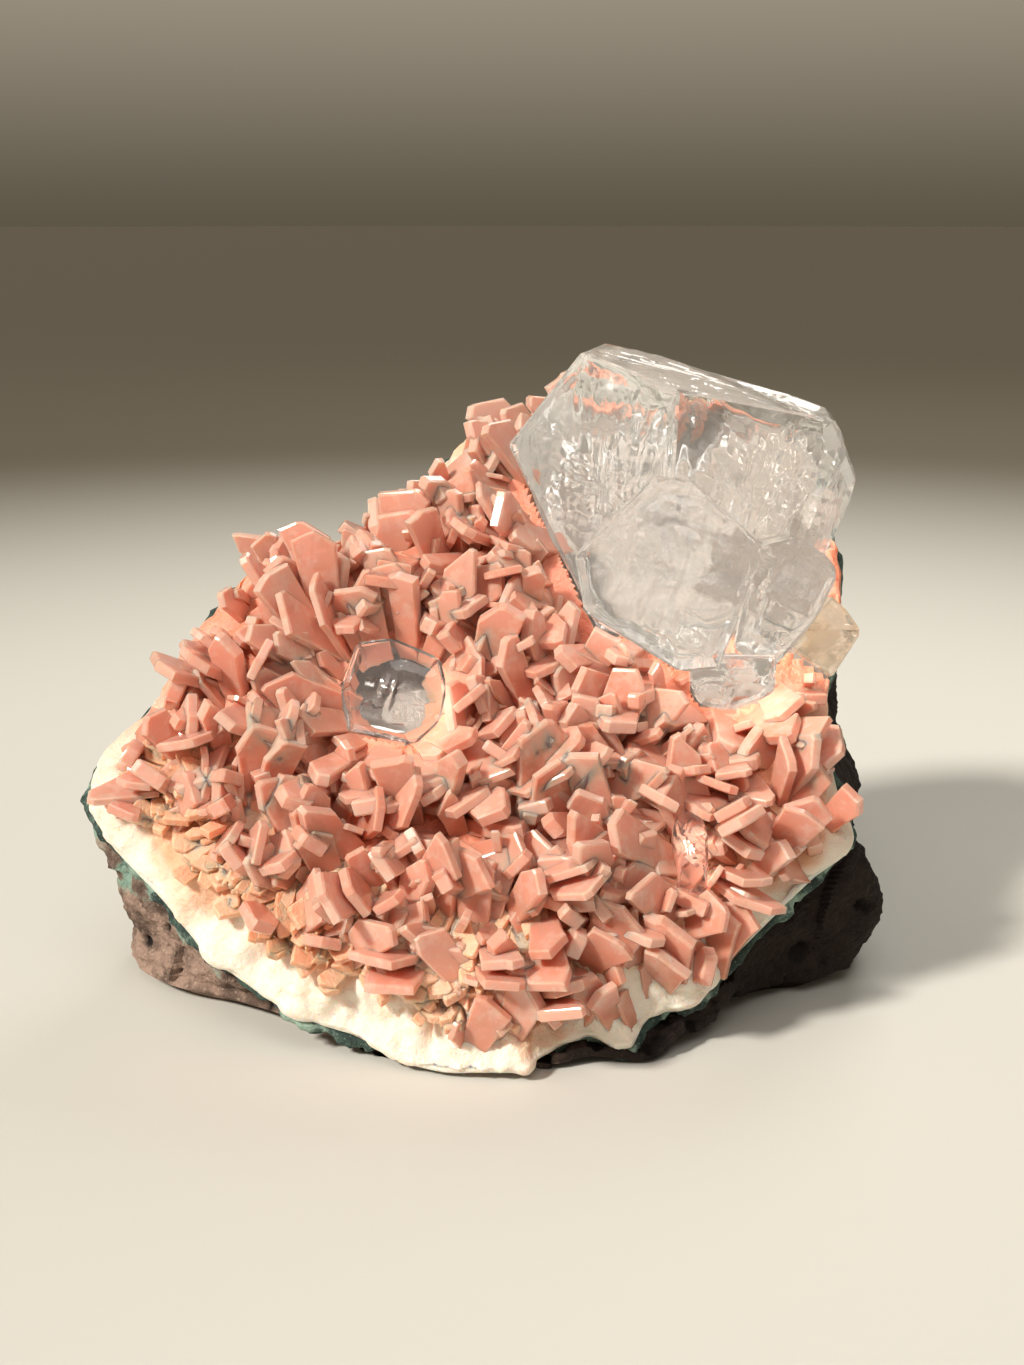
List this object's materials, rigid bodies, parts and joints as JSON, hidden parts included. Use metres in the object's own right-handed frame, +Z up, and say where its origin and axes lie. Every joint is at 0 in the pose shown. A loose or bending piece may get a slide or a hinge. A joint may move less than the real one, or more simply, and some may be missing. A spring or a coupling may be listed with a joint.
{
  "type": "apophyllite cluster",
  "caption": "Mineral specimen: clear blocky apophyllite crystals on a druse of pink stilbite blades over a wedge of dark basalt, standing on its flat base for display.",
  "frame": {"origin": "on the ground under the middle of the bounding box", "axes": "+X to the right along the specimen's width, -Y towards the viewer who faces the crystals, +Z up"},
  "size_m": [0.0794, 0.0596, 0.0632],
  "materials": {
    "basalt": "rough broken",
    "celadonite": "matte",
    "stilbite": "pearly",
    "apophyllite": "polished"
  },
  "bodies": {
    "root": {"basalt_matrix": "basalt", "celadonite_lining": "celadonite", "stilbite_druse": "stilbite", "apophyllite_cluster": "apophyllite", "apophyllite_side": "apophyllite", "apophyllite_small": "apophyllite", "apophyllite_bead": "apophyllite"}
  },
  "joints": []
}
